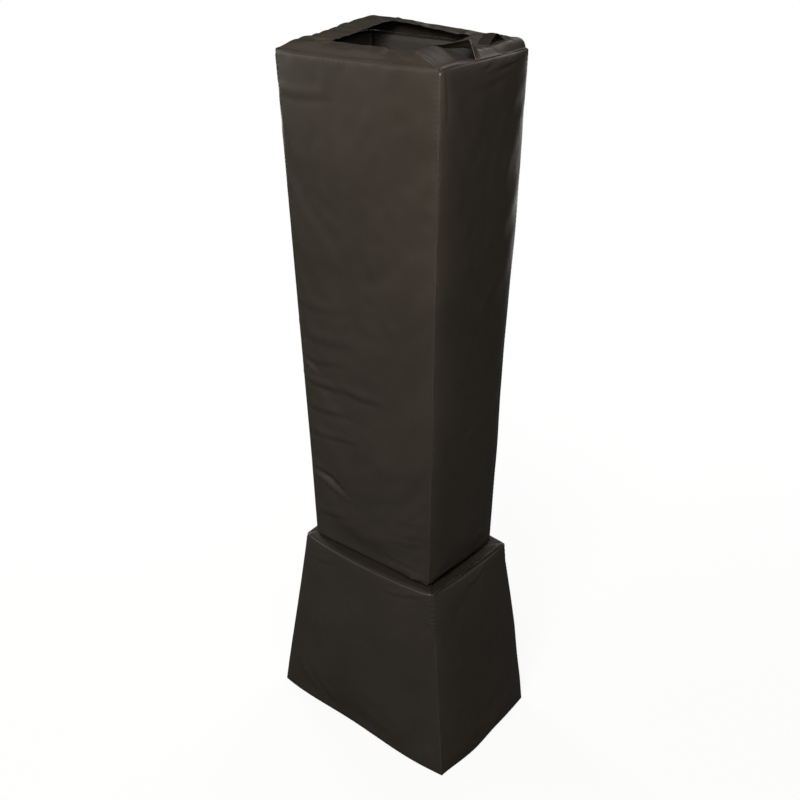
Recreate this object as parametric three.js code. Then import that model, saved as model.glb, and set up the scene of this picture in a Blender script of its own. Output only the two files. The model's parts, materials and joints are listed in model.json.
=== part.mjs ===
// Basketball pole pad: a tall wrap-around pad that stands on a flared skirt.
// Millimetres, +Z up. The origin is on the floor, in the middle of the skirt.
// The plain front face looks along -Y. Each pad is four foam panels in sewn vinyl covers.
// The panels turn about the welts at three corners. The fourth corner closes with hook and loop.

import * as THREE from "three";
import { mergeVertices } from "three/addons/utils/BufferGeometryUtils.js";

// Driving dimensions of the skirt
const SKIRT_HEIGHT = 535;
const SKIRT_BASE_WIDTH = 587;
const SKIRT_BASE_DEPTH = 378;
const SKIRT_RIM_WIDTH = 444;
const SKIRT_RIM_DEPTH = 293;

// Driving dimensions of the upper pad
const PAD_HEIGHT = 1290;
const PAD_FOOT_WIDTH = 394;
const PAD_FOOT_DEPTH = 269;
const PAD_TOP_WIDTH = 449;
const PAD_TOP_DEPTH = 312;

// The post that both pads go round, with its flaps drawn in to it
const POST_HOLE_WIDTH = 224;
const POST_HOLE_DEPTH = 206;

// Sheet and foam thicknesses
const VINYL = 1.2;
const LINING = 1.0;
const FOAM = 28.2;
const TAPE = 1.2;

// Clearances
const CLEARANCE = 0.3;
const PAD_FLAP_LIFT = 1;
const FLAP_LIFT_RUN = 18;
const FOLD_CLEARANCE = 4;
const FLAP_GAP = 1.2;
const SLIT_GAP = 2.4;
const WELT_CLEARANCE = 0.1;

// Corner welts, on which the panels turn
const WELT_RADIUS = 4;
const WELT_SIDES = 12;

// Flaps at the top of each pad
const FLAP_EDGE_INSET = 1;
const PAD_SLIT_FROM_FRONT = 120;
const SKIRT_SLIT_FROM_FRONT = 100;
const SKIRT_FLAP_WIDTH = 43;
const SKIRT_FLAP_FALL = 0.14;

// Hook and loop at the closing corner
const CLOSURE_TAPE_WIDTH = 25;
const CLOSURE_TAPE_INSET = 6;
const CLOSURE_TAPE_END = 20;

// Tabs of hook tape on the flaps
const PAD_TAB = { width: 36, length: 58, rise: 20, inset: 26, fromFront: 204 };
const SKIRT_TAB = { width: 15, length: 46, rise: 2, inset: 4, fromFront: 112 };

// How far the soft panels stand proud of their corner lines
const PAD_CROWN = 4;
const SKIRT_BROAD_CROWN = 18;
const SKIRT_SIDE_CROWN = 6;
const HEM_WAVE = 10;
const HEM_WAVE_SHARE = 0.62;

// Folds of the flaps, which stand up where they crowd round the post
const FOLD_RISE = { front: 15, leftFront: 8, leftBack: 27, back: 24, rightFront: 18, rightRear: 15, slitEdge: 39, slitEdgeInner: 19 };
const SLIT_EDGE_SHARE = 0.24;
const ROLL_SHARE = 0.2;

// Derived sizes
const PANEL_THICKNESS = VINYL + CLEARANCE + FOAM + CLEARANCE + LINING;
const MITRE = Math.SQRT2;
const WELT_TRIM = WELT_RADIUS * MITRE + WELT_CLEARANCE;
const WELT_ZONE = WELT_RADIUS * 2;
const MITRE_TRIM = CLEARANCE / MITRE;
const CLOSURE_TRIM = (CLEARANCE + TAPE + CLEARANCE / 2) * MITRE;
const PAD_SEAT = SKIRT_HEIGHT + CLEARANCE + VINYL + CLEARANCE;

// Materials, from the photographed object
const finish = (color, roughness) => new THREE.MeshStandardMaterial({ color, roughness, metalness: 0 });
const vinyl = finish(0x2a2824, 0.45);
const welting = finish(0x2e2b27, 0.4);
const backing = finish(0x1d1c1b, 0.7);
const foam = finish(0x3c3b3a, 0.95);
const hookTape = finish(0x191817, 0.85);
const loopTape = finish(0x1f1e1d, 0.9);

const product = new THREE.Group();

const lerp = THREE.MathUtils.lerp;
const smooth = (t) => THREE.MathUtils.smoothstep(t, 0, 1);
const hump = (t) => Math.sin(Math.PI * THREE.MathUtils.clamp(t, 0, 1)) ** 2;

// Adds one named piece to the model
function add(name, geometry, material) {
  const mesh = new THREE.Mesh(geometry, material);
  mesh.name = name;
  product.add(mesh);
}

// The two pads, each a frustum with a low and a high rectangle
const skirt = {
  name: "skirt",
  low: 0,
  high: SKIRT_HEIGHT,
  fold: 0,
  fall: SKIRT_FLAP_FALL,
  flapLift: CLEARANCE,
  lowSize: { width: SKIRT_BASE_WIDTH, depth: SKIRT_BASE_DEPTH },
  highSize: { width: SKIRT_RIM_WIDTH, depth: SKIRT_RIM_DEPTH },
  slit: SKIRT_SLIT_FROM_FRONT,
  hole: { width: SKIRT_RIM_WIDTH / 2 - SKIRT_FLAP_WIDTH, depth: SKIRT_RIM_DEPTH / 2 - SKIRT_FLAP_WIDTH },
  flapRows: 1,
};
const pad = {
  name: "pad",
  low: PAD_SEAT,
  high: PAD_SEAT + PAD_HEIGHT,
  fold: FOLD_CLEARANCE,
  fall: 0,
  flapLift: PAD_FLAP_LIFT,
  lowSize: { width: PAD_FOOT_WIDTH, depth: PAD_FOOT_DEPTH },
  highSize: { width: PAD_TOP_WIDTH, depth: PAD_TOP_DEPTH },
  slit: PAD_SLIT_FROM_FRONT,
  hole: { width: POST_HOLE_WIDTH / 2, depth: POST_HOLE_DEPTH / 2 },
  flapRows: 6,
};

// The four sides: outward direction, and which size runs along and across each
const sides = {
  front: { out: [0, -1], span: "width", reach: "depth", start: "welt", end: "welt" },
  right: { out: [1, 0], span: "depth", reach: "width", start: "welt", end: "closure" },
  back: { out: [0, 1], span: "width", reach: "depth", start: "closure", end: "welt" },
  left: { out: [-1, 0], span: "depth", reach: "width", start: "welt", end: "welt" },
};

// Half of a frustum's width or depth at a height
function halfSize(frustum, size, z) {
  const share = (z - frustum.low) / (frustum.high - frustum.low);
  return lerp(frustum.lowSize[size], frustum.highSize[size], share) / 2;
}

// A point from its reach outwards and its place along a side
function onSide(side, across, reach, z) {
  const [x, y] = side.out;
  return new THREE.Vector3(x * reach - y * across, y * reach + x * across, z);
}

// How far a panel stands proud, by its shares along and up
function bulge(panel, along, up) {
  const middle = 1 - (2 * along - 1) ** 2;
  if (panel.frustum === pad) {
    return PAD_CROWN * middle * (1 - (2 * up - 1) ** 4);
  }
  if (panel.side.span === "width") {
    return SKIRT_BROAD_CROWN * middle;
  }
  const fromFront = panel.side === sides.right ? along : 1 - along;
  return SKIRT_SIDE_CROWN * middle + HEM_WAVE * hump(fromFront / HEM_WAVE_SHARE) * (1 - up) ** 2;
}

// Room that a panel leaves at a corner, by its inset from the outer face
function cornerTrim(corner, inset) {
  if (corner === "closure") {
    return CLOSURE_TRIM;
  }
  const share = (inset - WELT_ZONE) / (PANEL_THICKNESS - WELT_ZONE);
  return lerp(WELT_TRIM, MITRE_TRIM, THREE.MathUtils.clamp(share, 0, 1));
}

// A point of a panel: shares along and up, inset from the outer face, and depth inside the cover's outer skin
function place(panel, along, up, inset, within, proud = 0) {
  const { frustum, side } = panel;
  const low = panel.low + within;
  const high = frustum.high - within - panel.fall * inset;
  const z = lerp(low, high, up);
  const span = halfSize(frustum, side.span, z) - inset - within * MITRE;
  const reach = halfSize(frustum, side.reach, z) - inset + bulge(panel, along, up) + proud;
  const start = span - cornerTrim(side.start, inset);
  const end = span - cornerTrim(side.end, inset);
  return onSide(side, lerp(-start, end, along), reach, z);
}

// One closed body between an outer and an inner grid of points, joined along their edges
function closedBody(outer, inner, columns, rows) {
  const points = [];
  const indices = [];
  const stride = columns + 1;
  const innerStart = stride * (rows + 1);
  for (const surface of [outer, inner]) {
    for (let j = 0; j <= rows; j += 1) {
      for (let i = 0; i <= columns; i += 1) {
        points.push(...surface(i, j).toArray());
      }
    }
  }
  const quad = (a, b, c, d) => indices.push(a, b, c, a, c, d);
  for (let j = 0; j < rows; j += 1) {
    for (let i = 0; i < columns; i += 1) {
      const a = j * stride + i;
      quad(a, a + 1, a + 1 + stride, a + stride);
      quad(innerStart + a, innerStart + a + stride, innerStart + a + 1 + stride, innerStart + a + 1);
    }
  }
  const edge = [];
  for (let i = 0; i < columns; i += 1) edge.push(i);
  for (let j = 0; j < rows; j += 1) edge.push(j * stride + columns);
  for (let i = columns; i > 0; i -= 1) edge.push(rows * stride + i);
  for (let j = rows; j > 0; j -= 1) edge.push(j * stride);
  edge.forEach((a, n) => {
    const b = edge[(n + 1) % edge.length];
    quad(a, innerStart + a, innerStart + b, b);
  });
  return cleaned(points, indices);
}

// Merges shared points and drops the triangles that closed up
function cleaned(points, indices) {
  const raw = new THREE.BufferGeometry();
  raw.setAttribute("position", new THREE.Float32BufferAttribute(points, 3));
  raw.setIndex(indices);
  const merged = mergeVertices(raw);
  const kept = [];
  const list = merged.getIndex().array;
  for (let n = 0; n < list.length; n += 3) {
    const [a, b, c] = [list[n], list[n + 1], list[n + 2]];
    if (a !== b && b !== c && c !== a) kept.push(a, b, c);
  }
  merged.setIndex(kept);
  merged.computeVertexNormals();
  return merged;
}

// A panel's face with its edges turned in: the face has its inset, and the walls run in to the mouth
function turnedIn(panel, face, mouth, within, proud) {
  const { columns, rows } = panel;
  const wallInsets = [mouth, WELT_ZONE];
  return (i, j) => {
    const column = THREE.MathUtils.clamp(i - 2, 0, columns);
    const row = THREE.MathUtils.clamp(j - 1, 0, rows);
    const fromSide = Math.min(i, columns + 4 - i);
    const sideInset = fromSide < 2 ? wallInsets[fromSide] : face;
    const endInset = j === 0 || j === rows + 2 ? mouth : face;
    const inset = Math.max(sideInset, endInset);
    const along = column / columns;
    const up = panel.upShare(row / rows);
    return place(panel, along, up, inset, within, inset === face && proud ? proud(along, up) : 0);
  };
}

// The vinyl cover of a panel: a tray with its open side to the post
function coverBody(panel) {
  const outer = turnedIn(panel, 0, PANEL_THICKNESS, 0, panel.wrinkles);
  const inner = turnedIn(panel, VINYL, PANEL_THICKNESS, VINYL);
  return closedBody(outer, inner, panel.columns + 4, panel.rows + 2);
}

// The foam core that fills the cover
function foamBody(panel) {
  const core = { ...panel, columns: panel.coreColumns, rows: panel.coreRows, upShare: (share) => share };
  const within = VINYL + CLEARANCE;
  const backInset = PANEL_THICKNESS - LINING - CLEARANCE;
  const outer = turnedIn(core, within, backInset, within);
  const inner = turnedIn(core, backInset, backInset, within);
  return closedBody(outer, inner, core.columns + 4, core.rows + 2);
}

// The lining that closes the cover over the foam
function liningBody(panel) {
  const columns = panel.coreColumns;
  const rows = panel.coreRows;
  const within = VINYL + CLEARANCE;
  const sheet = (inset) => (i, j) => place(panel, i / columns, j / rows, inset, within);
  return closedBody(sheet(PANEL_THICKNESS - LINING), sheet(PANEL_THICKNESS), columns, rows);
}

// Folds that the taut vinyl shows low on the upper pad's front: shares along and up, from and to
const wrinkleShares = [
  [0.02, 0.165, 0.3, 0.075],
  [0.03, 0.215, 0.24, 0.13],
  [0.0, 0.4, 0.34, 0.27],
  [0.0, 0.93, 0.22, 0.905],
  [0.7, 0.035, 0.98, 0.015],
];
const WRINKLE_HEIGHT = 2.4;
const WRINKLE_HALF_WIDTH = 16;

// Height of the wrinkles at a point of the front face
function frontWrinkles(along, up) {
  const x = along * PAD_FOOT_WIDTH;
  const z = up * PAD_HEIGHT;
  let height = 0;
  for (const [fromAlong, fromUp, toAlong, toUp] of wrinkleShares) {
    const from = new THREE.Vector2(fromAlong * PAD_FOOT_WIDTH, fromUp * PAD_HEIGHT);
    const run = new THREE.Vector2(toAlong * PAD_FOOT_WIDTH, toUp * PAD_HEIGHT).sub(from);
    const offset = new THREE.Vector2(x, z).sub(from);
    const share = offset.dot(run) / run.lengthSq();
    const away = Math.abs(offset.cross(run)) / run.length() / WRINKLE_HALF_WIDTH;
    height = Math.max(height, WRINKLE_HEIGHT * hump(share) * Math.exp(-away * away));
  }
  return height;
}

// Rows closer together where the wrinkles lie, low on the face
const lowRows = (share) => share ** 1.35;
const evenRows = (share) => share;

// One side of a pad, with its grids
function makePanel(frustum, sideName, grid) {
  const side = sides[sideName];
  const front = side === sides.front;
  return {
    frustum,
    side,
    low: frustum.low + (front ? 0 : frustum.fold),
    fall: front ? 0 : frustum.fall,
    upShare: evenRows,
    coreColumns: grid.columns,
    coreRows: grid.rows,
    ...grid,
  };
}

// Cover, foam and lining of each side
function addPanels(frustum, grids) {
  const panels = {};
  for (const sideName of Object.keys(sides)) {
    const panel = makePanel(frustum, sideName, grids[sideName] ?? grids.other);
    panels[sideName] = panel;
    add(`${frustum.name}_${sideName}_cover`, coverBody(panel), vinyl);
    add(`${frustum.name}_${sideName}_foam`, foamBody(panel), foam);
    add(`${frustum.name}_${sideName}_lining`, liningBody(panel), backing);
  }
  return panels;
}

// The sewn welt along one corner, on which two panels turn
function addWelt(frustum, cornerName, xSign, ySign) {
  const low = frustum.low + frustum.fold;
  const centre = (z) => new THREE.Vector3(
    xSign * (halfSize(frustum, "width", z) - WELT_RADIUS),
    ySign * (halfSize(frustum, "depth", z) - WELT_RADIUS),
    z,
  );
  const from = centre(low);
  const run = centre(frustum.high - WELT_ZONE * frustum.fall).sub(from);
  const bead = new THREE.CylinderGeometry(WELT_RADIUS, WELT_RADIUS, 1, WELT_SIDES);
  bead.rotateX(Math.PI / 2);
  bead.translate(0, 0, 1 / 2);
  bead.applyMatrix4(new THREE.Matrix4().set(
    1, 0, run.x, from.x,
    0, 1, run.y, from.y,
    0, 0, run.z, from.z,
    0, 0, 0, 1,
  ));
  add(`${frustum.name}_${cornerName}_welt`, bead, welting);
}

// Hook tape on the back panel's end and loop tape on the right panel's end, face to face
function addClosure(frustum, panels) {
  const height = frustum.high - frustum.low;
  const endShare = CLOSURE_TAPE_END / height;
  const insetRange = CLOSURE_TAPE_WIDTH / MITRE;
  const tapeOn = (panel, along, standOff) => (i, j) => {
    const up = lerp(endShare, 1 - endShare, j);
    const inset = CLOSURE_TAPE_INSET + i * insetRange;
    return place(panel, along, up, inset, 0).sub(shiftAlong(panel, along, standOff));
  };
  const near = CLEARANCE * MITRE;
  const far = (CLEARANCE + TAPE) * MITRE;
  const { back, right } = panels;
  add(`${frustum.name}_hook_tape`, closedBody(tapeOn(back, 0, near), tapeOn(back, 0, far), 1, 1), hookTape);
  add(`${frustum.name}_loop_tape`, closedBody(tapeOn(right, 1, far), tapeOn(right, 1, near), 1, 1), loopTape);
}

// A move along a side, away from the end that is named
function shiftAlong(panel, along, distance) {
  const [x, y] = panel.side.out;
  const sign = along === 1 ? -1 : 1;
  return new THREE.Vector3(-y, x, 0).multiplyScalar(sign * distance);
}

// Height of a flap's underside: close to the panel at its sewn edge, and lifted clear of it further in
function flapHeight(panel, inset) {
  const { frustum } = panel;
  const lifted = THREE.MathUtils.clamp((inset - FLAP_EDGE_INSET) / FLAP_LIFT_RUN, 0, 1);
  return frustum.high + lerp(CLEARANCE, frustum.flapLift, lifted) - panel.fall * inset;
}

// Where a flap starts and ends along its side, mitred from the panel's corners to the corners of the hole
function flapEnds(panel, part, inward) {
  const { frustum, side } = panel;
  const outerSpan = halfSize(frustum, side.span, frustum.high) - WELT_TRIM - FLAP_EDGE_INSET;
  const halfSpan = lerp(outerSpan, frustum.hole[side.span] - FLAP_GAP, inward);
  const slit = frustum.slit - halfSize(frustum, side.span, frustum.high);
  return {
    halfSpan,
    start: part === "rear" ? slit + SLIT_GAP / 2 : -halfSpan,
    end: part === "front" ? slit - SLIT_GAP / 2 : halfSpan,
  };
}

// A flap folded in over the top of one side
function flapBody(panel, part, fold) {
  const { frustum, side } = panel;
  const { hole, flapRows } = frustum;
  const columns = 12;
  const halfReach = halfSize(frustum, side.reach, frustum.high);
  const sheet = (lift) => (i, j) => {
    const along = i / columns;
    const inward = j / flapRows;
    const { halfSpan, start, end } = flapEnds(panel, part, inward);
    const across = lerp(start, end, along);
    const crown = bulge(panel, (across / halfSpan + 1) / 2, 1);
    const reach = lerp(halfReach + crown - FLAP_EDGE_INSET, hole[side.reach], inward);
    const base = flapHeight(panel, halfReach + crown - reach);
    return onSide(side, across, reach, base + lift + fold(along, inward));
  };
  return closedBody(sheet(VINYL), sheet(0), columns, flapRows);
}

// Folds of the upper pad's flaps, by the shares along and inward
const rolled = (inward) => smooth(inward / ROLL_SHARE);
const padFolds = {
  front: (along, inward) => FOLD_RISE.front * smooth(inward),
  left: (along, inward) => lerp(FOLD_RISE.leftBack, FOLD_RISE.leftFront, smooth(along)) * rolled(inward),
  back: (along, inward) => lerp(FOLD_RISE.back, FOLD_RISE.leftBack, smooth(along)) * rolled(inward),
  rightFront: (along, inward) => FOLD_RISE.rightFront * smooth(inward),
  rightRear: (along, inward) => {
    const raised = lerp(FOLD_RISE.slitEdge, FOLD_RISE.slitEdgeInner, smooth(inward));
    const slitEdge = raised * smooth(1 - along / SLIT_EDGE_SHARE);
    return Math.max(slitEdge, lerp(FOLD_RISE.rightRear, FOLD_RISE.back, smooth(along))) * rolled(inward);
  },
};
const flat = () => 0;

// The flaps of one pad: one to a side, and two with a slit between them on the right
function addFlaps(frustum, panels, folds) {
  const name = (which) => `${frustum.name}_${which}_flap`;
  add(name("front"), flapBody(panels.front, "whole", folds.front), vinyl);
  add(name("left"), flapBody(panels.left, "whole", folds.left), vinyl);
  add(name("back"), flapBody(panels.back, "whole", folds.back), vinyl);
  add(name("right_front"), flapBody(panels.right, "front", folds.rightFront), vinyl);
  add(name("right_rear"), flapBody(panels.right, "rear", folds.rightRear), vinyl);
}

// A tab of hook tape that lies on the rear right flap, sewn at its rear end and peaked in the middle
function addTab(frustum, panel, tab, fold) {
  const columns = 8;
  const halfWidth = halfSize(frustum, "width", frustum.high);
  const halfDepth = halfSize(frustum, "depth", frustum.high);
  const crest = (share) => tab.rise * hump(share) ** 0.75;
  const sheet = (lift) => (i, j) => {
    const inset = tab.inset + (1 - j) * tab.width;
    const share = i / columns;
    const across = tab.fromFront - halfDepth + share * tab.length;
    const crown = bulge(panel, (across / halfDepth + 1) / 2, 1);
    const reach = halfWidth + crown - inset;
    const inward = (inset - FLAP_EDGE_INSET) / (reach + inset - FLAP_EDGE_INSET - frustum.hole.width);
    const { start, end } = flapEnds(panel, "rear", inward);
    const folded = fold((across - start) / (end - start), inward);
    const base = flapHeight(panel, inset) + VINYL + CLEARANCE;
    return onSide(panel.side, across, reach, base + folded + lift + crest(share));
  };
  const along = (surface) => (i, j) => surface(i, 1 - j);
  add(`${frustum.name}_flap_tab`, closedBody(along(sheet(TAPE)), along(sheet(0)), columns, 1), hookTape);
}

const padPanels = addPanels(pad, {
  front: { columns: 14, rows: 26, coreColumns: 6, coreRows: 8, wrinkles: frontWrinkles, upShare: lowRows },
  other: { columns: 6, rows: 8 },
});
const skirtPanels = addPanels(skirt, {
  front: { columns: 10, rows: 3 },
  back: { columns: 10, rows: 3 },
  other: { columns: 12, rows: 6 },
});
const skirtFolds = { front: flat, left: flat, back: flat, rightFront: flat, rightRear: flat };
for (const [frustum, panels, folds] of [[pad, padPanels, padFolds], [skirt, skirtPanels, skirtFolds]]) {
  addWelt(frustum, "front_right", 1, -1);
  addWelt(frustum, "front_left", -1, -1);
  addWelt(frustum, "back_left", -1, 1);
  addClosure(frustum, panels);
  addFlaps(frustum, panels, folds);
}
addTab(pad, padPanels.right, PAD_TAB, padFolds.rightRear);
addTab(skirt, skirtPanels.right, SKIRT_TAB, flat);

export default product;
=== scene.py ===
"""Basketball pole pad: sewn vinyl panels over foam, folded round a post, on a flared skirt of the same make."""
import json
import math
from collections import namedtuple

import bmesh
import bpy
import numpy as np
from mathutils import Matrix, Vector


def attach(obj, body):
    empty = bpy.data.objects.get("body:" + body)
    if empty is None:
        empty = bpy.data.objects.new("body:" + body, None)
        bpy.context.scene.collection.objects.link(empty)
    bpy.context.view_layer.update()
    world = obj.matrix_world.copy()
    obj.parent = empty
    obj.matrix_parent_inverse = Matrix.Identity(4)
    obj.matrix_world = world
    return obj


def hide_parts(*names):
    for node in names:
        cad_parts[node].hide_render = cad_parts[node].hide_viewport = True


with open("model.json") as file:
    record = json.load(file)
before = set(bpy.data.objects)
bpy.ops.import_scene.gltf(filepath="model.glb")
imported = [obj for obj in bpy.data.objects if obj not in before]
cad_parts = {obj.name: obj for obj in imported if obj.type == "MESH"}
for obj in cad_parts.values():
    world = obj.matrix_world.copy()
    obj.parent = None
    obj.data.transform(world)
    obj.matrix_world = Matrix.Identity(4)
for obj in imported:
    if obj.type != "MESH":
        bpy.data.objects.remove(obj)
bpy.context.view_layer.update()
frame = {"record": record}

scene = bpy.context.scene

# ---- camera

AZIMUTH, ELEVATION = math.radians(39.585), math.radians(27.213)
CAMERA_PLACE = (1.55207, -1.88789, 2.21619)
FOCAL_LENGTH, SENSOR_WIDTH = 48.409, 36  # millimetres

toward_camera = Vector((
    math.sin(AZIMUTH) * math.cos(ELEVATION),
    -math.cos(AZIMUTH) * math.cos(ELEVATION),
    math.sin(ELEVATION),
))
lens = bpy.data.cameras.new("studio_camera")
lens.sensor_width = SENSOR_WIDTH
lens.lens = FOCAL_LENGTH
camera = bpy.data.objects.new("studio_camera", lens)
camera.location = CAMERA_PLACE
camera.rotation_mode = "QUATERNION"
camera.rotation_quaternion = (-toward_camera).to_track_quat("-Z", "Y")
scene.collection.objects.link(camera)
scene.camera = camera

# ---- sizes, in metres

VINYL, LINING, TAPE, FOAM = 0.0012, 0.001, 0.0012, 0.0282
GAP = 0.0003  # between layers that lie on each other
HAIR = 0.0001  # between edges that all but touch
PANEL = VINYL + GAP + FOAM + GAP + LINING
MITRE = math.sqrt(2)  # length along a 45 degree mitre for each unit across it
WELT = 0.004
WELT_TRIM = WELT * MITRE + HAIR
WELT_ZONE = 2 * WELT
SNUG = 0.0020  # how much closer to the piping the covers' edges lie than it needs
MITRE_TRIM = GAP / MITRE
CLOSURE_TRIM = (GAP + TAPE + GAP / 2) * MITRE
SLIT_GAP, FLAP_INSET = 0.0024, 0.001  # between the right flaps, and from the rim to a flap's sewn edge
LIFT_RUN = 0.018  # how far in a flap has risen to its pad's lift

# Each pad: heights, how much higher its sides start than its front, the slope of its top, the flaps' lift, its foot,
# rim and half its hole along x and y, the slit's place from the front, radii of the covers' edges beside the piping
# and of the piping, and how far the covers roll in at each piped corner, within what distance
SKIRT = {
    "name": "skirt", "low": 0.0, "high": 0.535, "fold": 0.0, "fall": 0.14, "lift": GAP,
    "foot": (0.587, 0.378), "rim": (0.444, 0.293), "hole": (0.179, 0.1035), "slit": 0.100,
    "side_radius": 0.0012, "bead": 0.0046,
    "sink": {"front_left": 0.0012, "front_right": 0.0044, "back_left": 0.0012, None: 0}, "sink_reach": 0.018,
}
PAD = {
    "name": "pad", "low": 0.5368, "high": 1.8268, "fold": 0.004, "fall": 0.0, "lift": 0.001,
    "foot": (0.394, 0.269), "rim": (0.449, 0.312), "hole": (0.112, 0.103), "slit": 0.120,
    "side_radius": 0.0020, "bead": 0.0042,
    "sink": {"front_left": 0.0020, "front_right": 0.0020, "back_left": 0.0020, None: 0}, "sink_reach": 0.011,
}

# A side: the way it faces, the axes along it and out of it, and its piped corners, None where the pad closes
Side = namedtuple("Side", "out span reach corners")
SIDES = {
    "front": Side((0, -1), 0, 1, ("front_left", "front_right")),
    "right": Side((1, 0), 1, 0, ("front_right", None)),
    "back": Side((0, 1), 0, 1, (None, "back_left")),
    "left": Side((-1, 0), 1, 0, ("back_left", "front_left")),
}

# Each cover: its grid, the share of the simulated settling that shows, how far the foam fills it, the powers by which
# that rolls off across and upwards, and the radius of the rolled top edge
Plan = namedtuple("Plan", "grid settling full across upwards rim_radius")
PLANS = {
    "pad_front": Plan((112, 340), 2.6, 0.0045, 9, 126, 0.003),
    "pad_right": Plan((80, 300), 1.6, 0.0075, 5, 70, 0.004),
    "pad_back": Plan((90, 280), 2.0, 0.006, 6, 84, 0.004),
    "pad_left": Plan((70, 280), 2.2, 0.006, 6, 84, 0.004),
    "skirt_front": Plan((150, 150), 1.8, 0.0035, 10, 40, 0.007),
    "skirt_right": Plan((110, 150), 1.8, 0.007, 5, 20, 0.006),
    "skirt_back": Plan((120, 120), 1.8, 0.005, 6, 24, 0.006),
    "skirt_left": Plan((90, 120), 1.8, 0.005, 6, 24, 0.006),
}


def lerp(a, b, share):
    """a at share 0, b at share 1, and a straight line between them."""
    return a + (b - a) * share


def smooth(t):
    """3t^2 - 2t^3 on 0..1."""
    t = np.clip(t, 0, 1)
    return t * t * (3 - 2 * t)


def hump(t):
    """sin^2 of pi t: nothing at both ends, one in the middle."""
    return np.sin(np.pi * np.clip(t, 0, 1)) ** 2


def bell(*distances):
    """exp of minus the sum of the squares: one where all distances are nothing."""
    return np.exp(-sum(distance ** 2 for distance in distances))


def held_under(values, most):
    """Values softly held under a greatest one, as most * tanh(value / most)."""
    return most * np.tanh(values / most)


def rounded(radius, inset):
    """How far a quarter circle has fallen at a distance in from its edge: r - sqrt(r^2 - (r - inset)^2)."""
    left = np.clip(radius - inset, 0, radius)
    return radius - np.sqrt(radius ** 2 - left ** 2)


def unit(vectors):
    """Vectors of the same directions, each of length one."""
    return vectors / np.linalg.norm(vectors, axis=-1, keepdims=True)


def sheet_area(points):
    """Area of a grid of points, as a sum of the tiles' cross products."""
    low_left = points[:-1, :-1]
    tiles = np.cross(points[1:, :-1] - low_left, points[:-1, 1:] - low_left)
    return float(np.linalg.norm(tiles, axis=-1).sum())


def half(pad, axis, z):
    """Half the pad's width or depth at height z, which changes evenly from its foot to its rim."""
    return lerp(pad["foot"][axis], pad["rim"][axis], (z - pad["low"]) / (pad["high"] - pad["low"])) / 2


def on_side(side, across, reach, z):
    """Points that lie `reach` out from the middle and `across` along a side, to the right as seen from outside."""
    x, y = side.out
    across, reach, z = np.broadcast_arrays(across, reach, z)
    return np.stack([x * reach - y * across, y * reach + x * across, z], -1)


PAD_CROWN, BROAD_CROWN, SIDE_CROWN = 0.004, 0.018, 0.006  # how far a panel's middle stands out
HEM_DIP, HEM_DIP_SHARE = 0.014, 0.92  # how much less at the hem of the skirt's front, over this share of it
HEM_WAVE, HEM_WAVE_SHARE = 0.006, 0.62  # how much more at the hems of its narrow sides


def bulge(pad, side_name, along, up):
    """Crown of a panel: a parabola across it. On the skirt, the front's hem is drawn in and the hems of the
    narrow sides bow out, each in one soft wave."""
    middle = 1 - (2 * along - 1) ** 2
    if pad is PAD:
        return PAD_CROWN * middle * (1 - (2 * up - 1) ** 4)
    if SIDES[side_name].span == 0:
        return BROAD_CROWN * middle - HEM_DIP * hump(along / HEM_DIP_SHARE) * (1 - up) ** 3 * (side_name == "front")
    from_front = along if side_name == "right" else 1 - along
    return SIDE_CROWN * middle + HEM_WAVE * hump(from_front / HEM_WAVE_SHARE) * (1 - up) ** 2


def plan_of(pad, side_name):
    """The plan of a side's cover."""
    return PLANS[f"{pad['name']}_{side_name}"]


def filling(pad, side_name, along, up):
    """How the foam fills a cover: flat in the middle and rolling off within a few centimetres of each seam,
    as 1 - |2t - 1|^n does, so that light runs along the seams."""
    plan = plan_of(pad, side_name)
    return plan.full * (1 - np.abs(2 * along - 1) ** plan.across) * (1 - np.abs(2 * up - 1) ** plan.upwards)


def trim(corner, inset):
    """Room left at a corner: a welt's at the face, a mitre's behind it, or the tapes' where the pad closes."""
    if corner is None:
        return CLOSURE_TRIM + 0 * inset
    return lerp(WELT_TRIM - SNUG, MITRE_TRIM, np.clip((inset - WELT_ZONE) / (PANEL - WELT_ZONE), 0, 1))


def place(pad, side_name, along, up, inset, within=0.0, proud=0.0):
    """A panel's point from its shares along and up, its inset behind the face, and how far it stands proud."""
    side = SIDES[side_name]
    front = side_name == "front"
    low = pad["low"] + (0 if front else pad["fold"]) + within
    high = pad["high"] - within - (0 if front else pad["fall"]) * inset
    z = lerp(low, high, up)
    span = half(pad, side.span, z) - inset - within * MITRE
    reach = half(pad, side.reach, z) - inset + bulge(pad, side_name, along, up) + proud
    start, end = (span - trim(corner, inset) for corner in side.corners)
    return on_side(side, lerp(-start, end, along), reach, z)


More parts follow.
